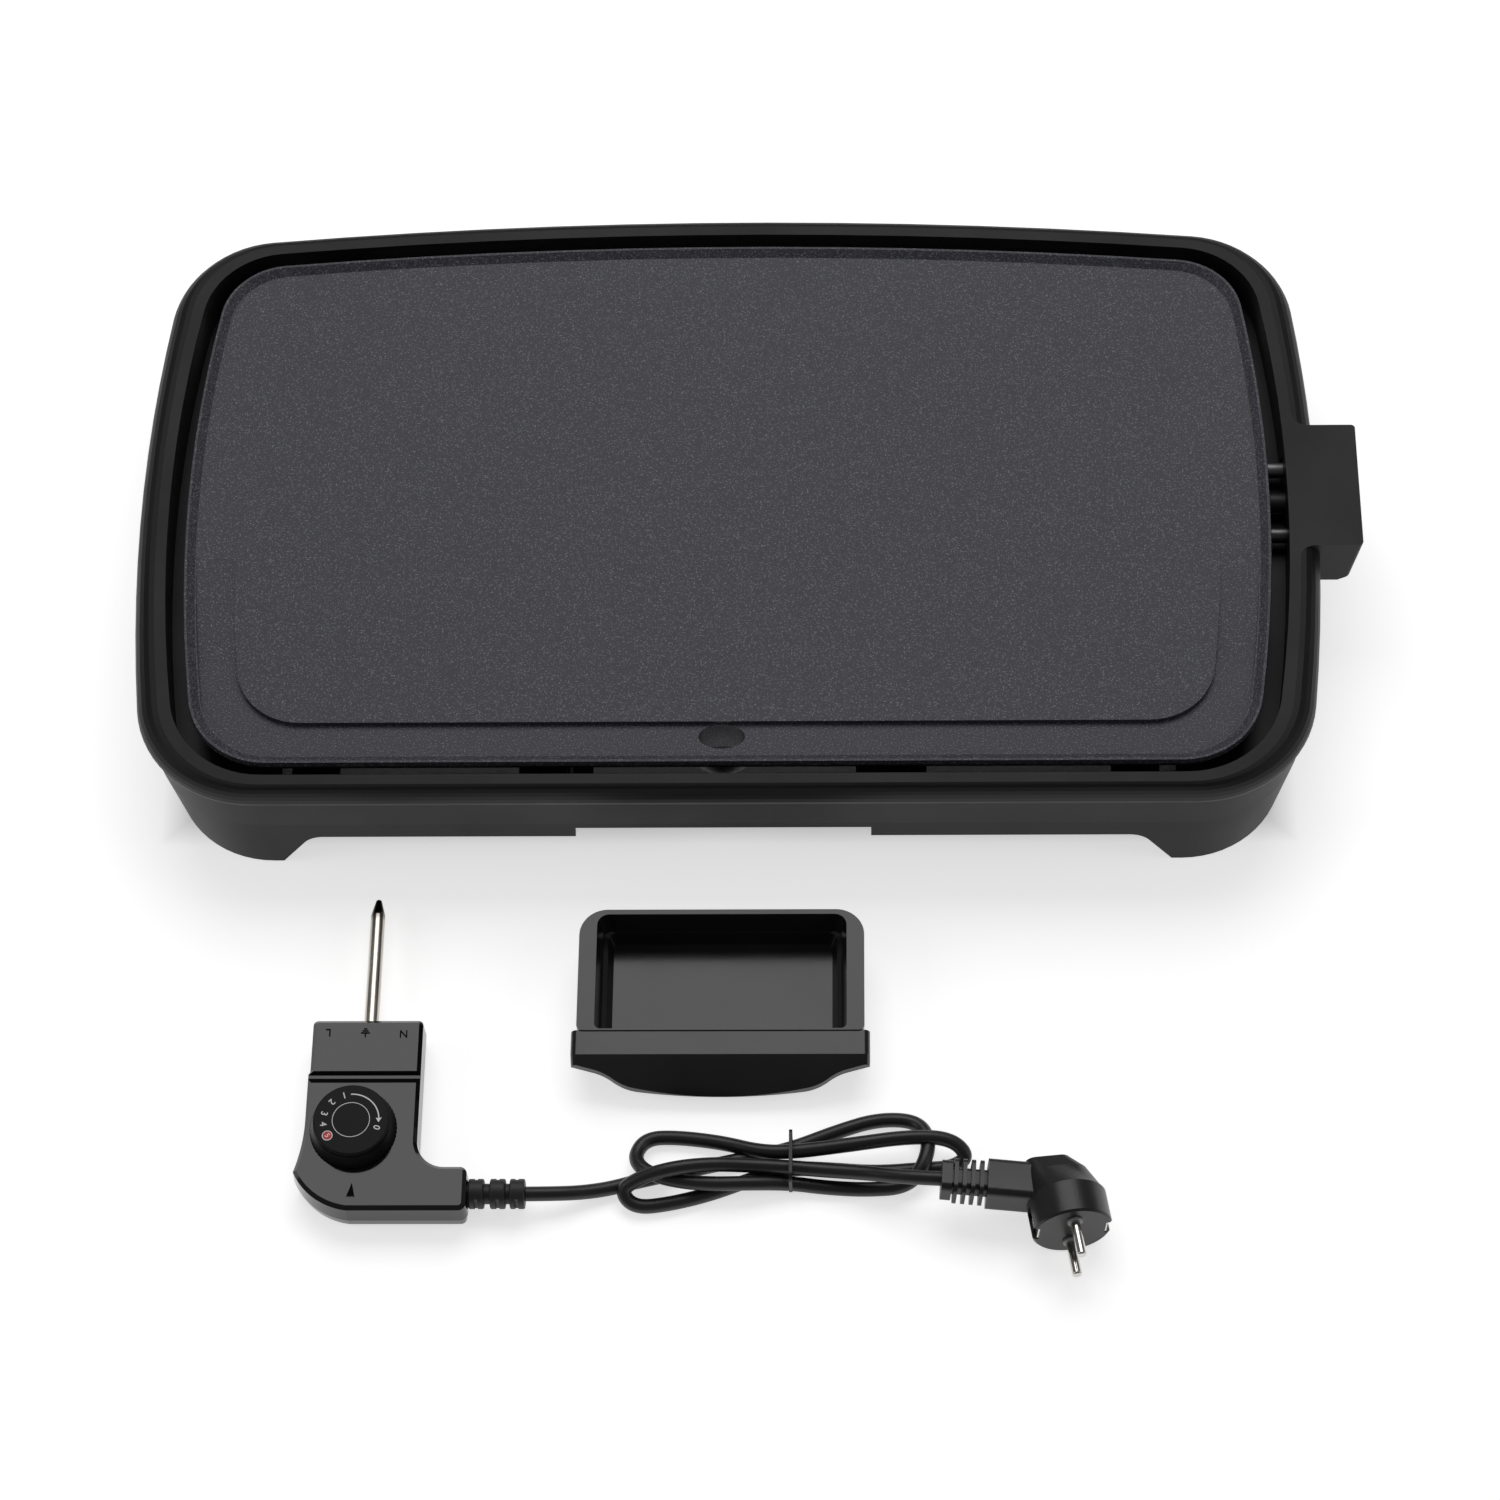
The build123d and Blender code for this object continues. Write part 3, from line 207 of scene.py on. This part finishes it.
MATT = surface("housing_plastic", grey(0.0060, 1.03), grey(0.0085, 1.03), (0.40, 0.50), 900.0,
               0.00004, ior=1.31)
GLOSS = surface("case_plastic", grey(0.004), grey(0.006), (0.07, 0.11), 60.0, 0.00001,
                ior=1.43, coat=0.2)
TRAY = surface("tray_plastic", grey(0.009, 1.2), grey(0.013, 1.2), (0.16, 0.24), 500.0,
               0.00002)
RAIL = surface("rail_plastic", grey(0.012), grey(0.02), (0.45, 0.6), 700.0, 0.00004)
FOOT = surface("foot_rubber", grey(0.012), grey(0.022), (0.6, 0.8), 800.0, 0.00006)
SHEATH = surface("element_sheath", grey(0.10), grey(0.22), (0.35, 0.5), 500.0, 0.00003,
                 metallic=1.0)
# Probe sleeve made near-black as painted shade, as dark as the shaded gap it crosses.
SLEEVE_SHADE = surface("sleeve_painted_shade", grey(0.006), grey(0.012), (0.5, 0.6), 500.0, 0.00003)
PIN = surface("element_pin_steel", grey(0.30), grey(0.42), (0.22, 0.34), 300.0, 0.00001,
              metallic=1.0, stretch=(0.15, 1.0, 1.0))
ZINC = surface("zinc_steel", grey(0.42), grey(0.58), (0.3, 0.42), 400.0, 0.00002,
               metallic=1.0)
SHIELD = surface("shield_sheet", grey(0.50), grey(0.62), (0.25, 0.4), 200.0, 0.00004,
                 metallic=1.0, stretch=(0.08, 1.0, 1.0))
CERAMIC = surface("ceramic", (0.62, 0.59, 0.52), (0.72, 0.70, 0.64), (0.6, 0.8), 600.0,
                  0.00004)
BRASS = surface("contact_brass", (0.58, 0.42, 0.18), (0.72, 0.56, 0.28), (0.25, 0.4),
                300.0, 0.00001, metallic=1.0)
TERMINAL = surface("terminal_plastic", (0.66, 0.65, 0.58), (0.78, 0.77, 0.72), (0.4, 0.55),
                   500.0, 0.00003)
RELIEF = surface("relief_rubber", grey(0.008), grey(0.014), (0.42, 0.55), 700.0, 0.00004)
JACKET = surface("cord_jacket", grey(0.007), grey(0.012), (0.34, 0.46), 500.0, 0.00004)
TIE = surface("tie_plastic", grey(0.008), grey(0.014), (0.35, 0.5), 600.0, 0.00003)
PLUG = surface("plug_plastic", grey(0.007), grey(0.012), (0.30, 0.42), 600.0, 0.00005)
NICKEL = surface("nickel", (0.62, 0.60, 0.57), (0.74, 0.72, 0.69), (0.10, 0.18), 200.0,
                 0.00001, metallic=1.0, stretch=(1.0, 0.2, 1.0))
COLLAR = surface("collar_plastic", grey(0.24), grey(0.30), (0.4, 0.5), 500.0, 0.00002)
KNOB = surface("knob_plastic", grey(0.005), grey(0.008), (0.34, 0.44), 800.0, 0.00003,
               ior=1.22)
PRINT = surface("white_print", grey(0.84), grey(0.90), (0.5, 0.6), 900.0, 0.00001)
MARK = surface("dark_mark", grey(0.0015), grey(0.003), (0.7, 0.8), 900.0, 0.00001, ior=1.15)
RED = surface("red_print", (0.50, 0.015, 0.02), (0.60, 0.03, 0.03), (0.45, 0.55), 900.0,
              0.00001)

LOOKS = {
    "frame_housing": MATT, "griddle_plate": plate_material(),
    "heating_element": SHEATH, "element_pins": PIN, "pin_insulators": CERAMIC,
    "probe_sleeve": SLEEVE_SHADE, "socket_backplate": ZINC, "heat_shield": SHIELD,
    "plate_screws": ZINC, "shield_screws": ZINC,
    "tray_rail_left": RAIL, "tray_rail_right": RAIL,
    "rubber_foot_front_left": FOOT, "rubber_foot_front_right": FOOT,
    "rubber_foot_back_left": FOOT, "rubber_foot_back_right": FOOT,
    "drip_tray": TRAY, "control_top_shell": GLOSS, "control_bottom_shell": GLOSS,
    "shell_screws": ZINC, "temperature_probe": probe_material(),
    "live_contact": BRASS, "neutral_contact": BRASS, "earth_contact": ZINC,
    "thermostat_bracket": ZINC, "contact_carrier": CERAMIC,
    "fixed_contact_blade": BRASS, "moving_contact_blade": BRASS,
    "terminal_block": TERMINAL, "cord_clamp": RAIL, "control_strain_relief": RELIEF,
    "cord_lead": JACKET, "cord_hank": JACKET, "cord_tail": JACKET, "cord_tie": TIE,
    "plug_body": PLUG, "plug_pins": NICKEL, "plug_pin_collars": COLLAR,
    "plug_earth_clips": NICKEL, "plug_strain_relief": PLUG,
    "dial_knob": KNOB, "dial_spindle": ZINC,
}
for node, look in LOOKS.items():
    slots = NODES[node].material_slots
    if not slots:
        NODES[node].data.materials.append(look)
    for index in range(len(slots)):
        slots[index].material = look


# ---------------------------------------------------------------- cord
CORD_DIAMETER = 0.0072
CORD_POINTS = (
    (-94.6, -363.6, 12), (-80, -362.8, 10.4), (-66, -360.2, 6.2), (-53, -357, 4),
    (-42, -353.6, 3.75), (-20, -348.5, 3.7), (5, -342.8, 3.7), (32, -337, 3.7),
    (56, -327, 3.7), (76, -320.5, 3.8), (95, -322, 5), (101, -334, 9),
    (98, -348, 10.5), (90, -357.5, 6), (70, -358, 3.7), (50, -356.8, 3.8),
    (33.5, -355, 5), (15, -357.3, 10.5), (-8, -358.3, 11.5), (-26, -355.8, 11.5),
    (-38, -350.5, 10), (-43, -341, 5.5), (-37, -330.5, 3.7), (-22, -330, 3.7),
    (0, -333.2, 4.5), (18, -340, 9), (33.5, -341, 10.5), (60, -337.5, 10.5),
    (90, -334, 13), (111, -333.8, 11), (120, -342, 7), (111, -346.5, 3.8),
    (98, -347, 3.7), (75, -349, 3.7), (50, -347, 3.7), (33.5, -346.5, 3.7),
    (15, -352, 3.7), (-5, -360, 3.7), (-25, -365.3, 3.7), (-42, -367.5, 4),
    (-49, -360, 7.5), (-40, -356, 13.5), (-24, -353, 18.5), (-6, -350, 16.5),
    (12, -348.7, 12.5), (33.5, -349.3, 11), (50, -351, 11.3), (69, -353.8, 14.6),
    (82, -357.5, 19.4), (95, -360, 22.8), (106.2, -360.7, 23.1),
)


def make_cord():
    curve = bpy.data.curves.new("mains_cord", "CURVE")
    curve.dimensions = "3D"
    curve.resolution_u = 10
    curve.bevel_depth = CORD_DIAMETER / 2
    curve.bevel_resolution = 6
    curve.use_fill_caps = True
    spline = curve.splines.new("NURBS")
    spline.points.add(len(CORD_POINTS) - 1)
    for point, place in zip(spline.points, CORD_POINTS):
        point.co = (*mm(*place), 1.0)
    spline.order_u = 3
    spline.use_endpoint_u = True
    curve.materials.append(JACKET)
    obj = bpy.data.objects.new("mains_cord", curve)
    bpy.context.scene.collection.objects.link(obj)
    return obj


cord = make_cord()
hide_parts("cord_lead", "cord_hank", "cord_tail")
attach(cord, "control")


# ---------------------------------------------------------------- dial print
DIAL_CENTRE = (-178.4, -333.8, 33.0)
PRINT_RISE = 0.05


def on_dial(radius, degrees):
    """Point on the dial's cap, in millimetres."""
    angle = math.radians(degrees)
    return (DIAL_CENTRE[0] + radius * math.cos(angle),
            DIAL_CENTRE[1] + radius * math.sin(angle))


def flat_band(name, inner, outer, start, end, material, steps=96, rise=PRINT_RISE):
    """Printed ring or arc on the dial: a thin closed strip that stands a little proud."""
    closed = abs(end - start) >= 360
    mesh = bmesh.new()
    rows = []
    for step in range(steps + (0 if closed else 1)):
        degrees = start + (end - start) * step / steps
        row = []
        for radius in (inner, outer):
            x, y = on_dial(radius, degrees)
            for z in (DIAL_CENTRE[2] - 0.1, DIAL_CENTRE[2] + rise):
                row.append(mesh.verts.new(mm(x, y, z)))
        rows.append(row)
    count = len(rows) if closed else len(rows) - 1
    for step in range(count):
        a, b = rows[step], rows[(step + 1) % len(rows)]
        for i, j in ((0, 2), (2, 3), (3, 1), (1, 0)):
            mesh.faces.new((a[i], a[j], b[j], b[i]))
    if not closed:
        for row in (rows[0], rows[-1]):
            mesh.faces.new((row[0], row[1], row[3], row[2]))
    bmesh.ops.recalc_face_normals(mesh, faces=mesh.faces)
    return finish_mesh(name, mesh, material)


def finish_mesh(name, mesh, material):
    data = bpy.data.meshes.new(name)
    mesh.to_mesh(data)
    mesh.free()
    data.materials.append(material)
    obj = bpy.data.objects.new(name, data)
    bpy.context.scene.collection.objects.link(obj)
    return obj


def flat_shape(name, points, material, rise):
    """Thin closed plate over the polygon points, rise millimetres over the dial's cap."""
    mesh = bmesh.new()
    low = [mesh.verts.new(mm(x, y, DIAL_CENTRE[2] + rise - 0.15)) for x, y in points]
    high = [mesh.verts.new(mm(x, y, DIAL_CENTRE[2] + rise)) for x, y in points]
    mesh.faces.new(low)
    mesh.faces.new(high)
    for i in range(len(points)):
        j = (i + 1) % len(points)
        mesh.faces.new((low[i], low[j], high[j], high[i]))
    bmesh.ops.recalc_face_normals(mesh, faces=mesh.faces)
    return finish_mesh(name, mesh, material)


def numeral(name, text, degrees, radius, size, material, rise):
    """Raised numeral whose top points to the dial's centre."""
    curve = bpy.data.curves.new(name, "FONT")
    curve.body = text
    curve.size = size * MM
    curve.align_x = "CENTER"
    curve.align_y = "CENTER"
    curve.extrude = 0.05 * MM
    curve.offset = 0.03 * MM
    curve.resolution_u = 4
    curve.materials.append(material)
    obj = bpy.data.objects.new(name, curve)
    bpy.context.scene.collection.objects.link(obj)
    x, y = on_dial(radius, degrees)
    turn = math.radians(degrees + 90.0)
    obj.matrix_world = (Matrix.Translation(mm(x, y, DIAL_CENTRE[2] + rise - 0.05))
                        @ Matrix.Rotation(turn, 4, "Z"))
    return obj


def make_dial_print():
    parts = [flat_band("dial_ring", 8.9, 9.2, 0, 360, PRINT)]
    parts.append(flat_band("dial_arc", 13.2, 13.8, 93, 3, PRINT, steps=48))
    tip = [on_dial(13.5, -6.0), on_dial(15.0, 5.0), on_dial(13.5, 2.5), on_dial(12.0, 5.0)]
    parts.append(flat_shape("dial_arrow", tip, PRINT, PRINT_RISE))
    for text, degrees in (("0", -18), ("1", 107), ("2", 136), ("3", 166), ("4", 190)):
        parts.append(numeral("dial_numeral_" + text, text, degrees, 13.6, 4.7, PRINT,
                             PRINT_RISE))
    x, y = on_dial(13.8, 217.5)
    ring = [(x + 2.6 * math.cos(math.radians(a)), y + 2.6 * math.sin(math.radians(a)))
            for a in range(0, 360, 10)]
    disc = [(x + 2.2 * math.cos(math.radians(a)), y + 2.2 * math.sin(math.radians(a)))
            for a in range(0, 360, 10)]
    parts.append(flat_shape("dial_mark_ring", ring, PRINT, 0.04))
    parts.append(flat_shape("dial_mark_disc", disc, RED, 0.07))
    parts.append(numeral("dial_numeral_5", "5", 217.5, 13.8, 3.6, PRINT, 0.10))
    for part in parts:
        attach(part, "dial")


make_dial_print()


# ---------------------------------------------------------------- marks on the control
CASE_TOP = 22.3
POINTER_STEP = 0.3  # the raised pointer stands this far over the case


def make_case_marks():
    """Dark L, earth and N marks near the head's end, read from the cord's side, and the
    pointer that the dial is read against."""
    rise = CASE_TOP + PRINT_RISE - DIAL_CENTRE[2]
    parts = []
    for text, x, y in (("L", -193.6, -281.6), ("N", -156.6, -282.4)):
        mark = numeral("pole_mark_" + text, text, 0, 0, 5.6, MARK, 0.0)
        mark.matrix_world = (Matrix.Translation(mm(x, y, CASE_TOP))
                             @ Matrix.Rotation(math.pi, 4, "Z"))
        parts.append(mark)
    x, y = -175.4, -282.0
    strips = [(x - 0.3, y - 2.3, x + 0.3, y - 0.3)]
    strips += [(x - half, y + low, x + half, y + low + 0.55)
               for half, low in ((2.2, -0.3), (1.5, 0.8), (0.8, 1.9))]
    for index, (x0, y0, x1, y1) in enumerate(strips):
        corners = [(x0, y0), (x1, y0), (x1, y1), (x0, y1)]
        parts.append(flat_shape("earth_mark_%d" % index, corners, MARK, rise))
    corner = [(-177.4, -362.3), (-179.7, -369.1), (-175.9, -369.1)]
    parts.append(flat_shape("case_pointer", corner, MARK, rise + POINTER_STEP))
    for part in parts:
        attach(part, "control")


make_case_marks()


# ---------------------------------------------------------------- light and floor
FLOOR_GLOW = 0.62
SHADOW_CUT_EDGES = (("X", 0.250, 0.290), ("Y", 0.125, 0.165))  # axis, painted shadow inside, full glow outside


def make_floor():
    """Pale floor that glows a little, as on a light table, but not under the griddle, where
    the missing glow is a painted shadow.
    """
    bpy.ops.mesh.primitive_plane_add(size=12.0, location=(0, 0, 0))
    floor = bpy.context.object
    floor.name = "floor"
    mat, tree, shader = new_material("floor_white")
    broad = noise(tree, 3.0)
    tree.links.new(ramp(tree, broad, (0.3, grey(0.86)), (0.7, grey(0.89))),
                   shader.inputs["Base Color"])
    shader.inputs["Roughness"].default_value = 0.8
    shader.inputs["Emission Color"].default_value = (1, 1, 1, 1)
    split = tree.nodes.new("ShaderNodeSeparateXYZ")
    tree.links.new(object_place(tree), split.inputs["Vector"])
    glow = None
    # The glow falls to nothing inside the griddle's footprint: a painted shadow on the floor
    # under it.
    for axis, near, far in SHADOW_CUT_EDGES:
        size = tree.nodes.new("ShaderNodeMath")
        size.operation = "ABSOLUTE"
        tree.links.new(split.outputs[axis], size.inputs[0])
        level = spread(tree, size.outputs[0], 0.0, FLOOR_GLOW, near, far)
        if glow is not None:
            top = tree.nodes.new("ShaderNodeMath")
            top.operation = "MAXIMUM"
            tree.links.new(glow, top.inputs[0])
            tree.links.new(level, top.inputs[1])
            level = top.outputs[0]
        glow = level
    tree.links.new(glow, shader.inputs["Emission Strength"])
    floor.data.materials.append(mat)


def make_light(name, place, aim, size, power, size_y=None):
    data = bpy.data.lights.new(name, "AREA")
    data.shape = "RECTANGLE"
    data.size = size
    data.size_y = size_y or size
    data.energy = power
    obj = bpy.data.objects.new(name, data)
    bpy.context.scene.collection.objects.link(obj)
    direction = Vector(aim) - Vector(place)
    obj.matrix_world = (Matrix.Translation(place)
                        @ direction.to_track_quat("-Z", "Y").to_matrix().to_4x4())


def make_world(level):
    world = bpy.data.worlds.new("studio")
    bpy.context.scene.world = world
    world.use_nodes = True
    back = world.node_tree.nodes["Background"]
    back.inputs["Color"].default_value = (1, 1, 1, 1)
    back.inputs["Strength"].default_value = level


make_floor()
make_world(0.15)
make_light("softbox_back", (0.0, 1.9, 3.0), (0, -0.1, 0), 3.2, 56.0, 2.4)
make_light("softbox_left", (-2.6, -0.4, 1.6), (0, 0, 0), 1.2, 8.0)
make_light("softbox_right", (2.6, -0.4, 1.6), (0, 0, 0), 1.2, 6.0)
bpy.context.scene.view_settings.view_transform = "Standard"
